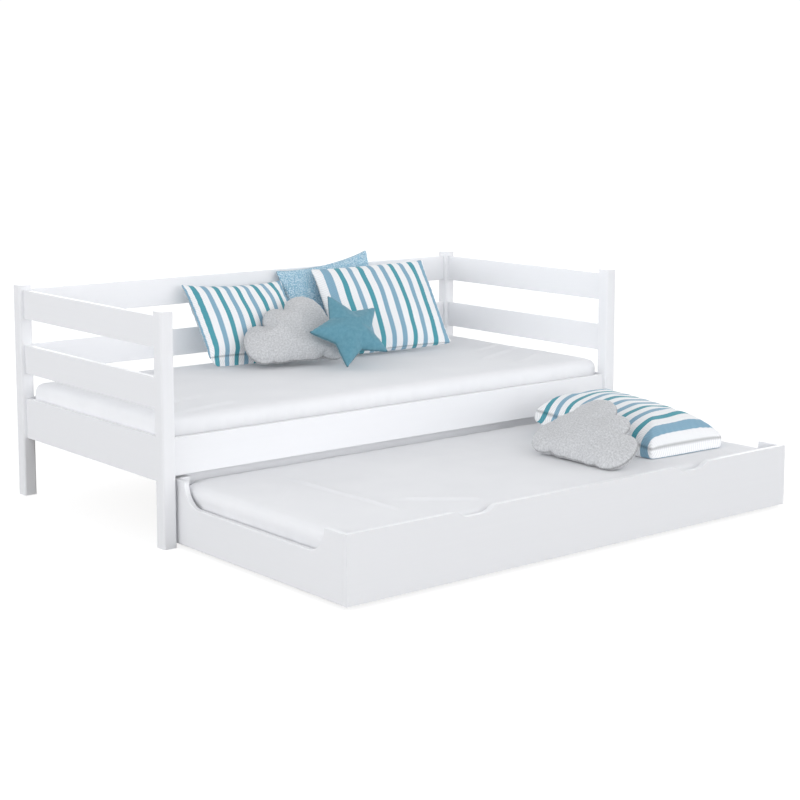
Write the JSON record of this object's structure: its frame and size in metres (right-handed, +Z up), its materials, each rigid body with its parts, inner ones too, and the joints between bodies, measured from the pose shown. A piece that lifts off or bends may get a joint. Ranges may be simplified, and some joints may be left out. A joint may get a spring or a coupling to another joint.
{
  "type": "trundle bed",
  "caption": "Painted wooden daybed with guard rails on three sides and a low trundle bed on rollers that slides out from under its front, dressed with mattresses and cushions.",
  "frame": {"origin": "on the floor, below the centre of the whole object with the trundle pulled out", "axes": "+X along the bed to the right as seen from the front, +Y towards the back rails, +Z up"},
  "size_m": [2.08, 1.912, 0.8091],
  "materials": {
    "white_paint": "satin white paint with faint grain",
    "bare_wood": "planed pine, unpainted",
    "mattress_cover": "white fitted cotton cover",
    "striped_cotton": "white cotton with teal and steel-blue stripes",
    "blue_weave": "speckled blue loop weave",
    "grey_jersey": "grey melange jersey",
    "teal_cotton": "plain teal cotton",
    "zinc_steel": "zinc-plated sheet",
    "roller": "moulded dark grey"
  },
  "bodies": {
    "bed": {"post_front_left": "white_paint", "post_back_left": "white_paint", "post_front_right": "white_paint", "post_back_right": "white_paint", "end_rail_top_left": "white_paint", "end_rail_middle_left": "white_paint", "end_board_left": "white_paint", "end_rail_top_right": "white_paint", "end_rail_middle_right": "white_paint", "end_board_right": "white_paint", "back_rail_top": "white_paint", "back_rail_middle": "white_paint", "back_board": "white_paint", "front_board": "white_paint", "bed_ledger_front": "white_paint", "bed_ledger_back": "white_paint", "bed_slat_01": "bare_wood", "bed_slat_02": "bare_wood", "bed_slat_03": "bare_wood", "bed_slat_04": "bare_wood", "bed_slat_05": "bare_wood", "bed_slat_06": "bare_wood", "bed_slat_07": "bare_wood", "bed_slat_08": "bare_wood", "bed_slat_09": "bare_wood", "bed_slat_10": "bare_wood", "bed_mattress": "mattress_cover", "cushion_striped_left": "striped_cotton", "cushion_striped_right": "striped_cotton", "cushion_blue": "blue_weave", "cushion_cloud": "grey_jersey", "cushion_star": "teal_cotton"},
    "trundle": {"trundle_side_left": "white_paint", "trundle_side_right": "white_paint", "trundle_front": "white_paint", "trundle_back": "white_paint", "corner_block_left": "white_paint", "corner_block_right": "white_paint", "trundle_ledger_front": "white_paint", "trundle_ledger_back": "white_paint", "trundle_slat_01": "bare_wood", "trundle_slat_02": "bare_wood", "trundle_slat_03": "bare_wood", "trundle_slat_04": "bare_wood", "trundle_slat_05": "bare_wood", "trundle_slat_06": "bare_wood", "trundle_slat_07": "bare_wood", "trundle_mattress": "mattress_cover", "trundle_cushion_striped": "striped_cotton", "trundle_cushion_cloud": "grey_jersey", "caster_bracket_front_left": "zinc_steel", "caster_bracket_back_left": "zinc_steel", "caster_bracket_front_right": "zinc_steel", "caster_bracket_back_right": "zinc_steel"},
    "wheel_front_left": {"wheel_front_left": "roller"},
    "wheel_back_left": {"wheel_back_left": "roller"},
    "wheel_front_right": {"wheel_front_right": "roller"},
    "wheel_back_right": {"wheel_back_right": "roller"}
  },
  "joints": [
    {"name": "trundle_slide", "type": "slide", "parent": "bed", "child": "trundle", "axis": [0, -1, 0], "range_m": [-0.892, 0.1], "deforming": ["trundle_cushion_striped", "trundle_cushion_cloud"]},
    {"name": "wheel_front_left_spin", "type": "hinge", "parent": "trundle", "child": "wheel_front_left", "pos_m": [-0.948, -0.864, 0.022], "axis": [1, 0, 0], "continuous": true},
    {"name": "wheel_back_left_spin", "type": "hinge", "parent": "trundle", "child": "wheel_back_left", "pos_m": [-0.948, -0.124, 0.022], "axis": [1, 0, 0], "continuous": true},
    {"name": "wheel_front_right_spin", "type": "hinge", "parent": "trundle", "child": "wheel_front_right", "pos_m": [0.948, -0.864, 0.022], "axis": [1, 0, 0], "continuous": true},
    {"name": "wheel_back_right_spin", "type": "hinge", "parent": "trundle", "child": "wheel_back_right", "pos_m": [0.948, -0.124, 0.022], "axis": [1, 0, 0], "continuous": true}
  ],
  "couplings": [
    {"joint": "wheel_front_left_spin", "follows": "trundle_slide", "rad_per_m": 45.455},
    {"joint": "wheel_back_left_spin", "follows": "trundle_slide", "rad_per_m": 45.455},
    {"joint": "wheel_front_right_spin", "follows": "trundle_slide", "rad_per_m": 45.455},
    {"joint": "wheel_back_right_spin", "follows": "trundle_slide", "rad_per_m": 45.455}
  ]
}
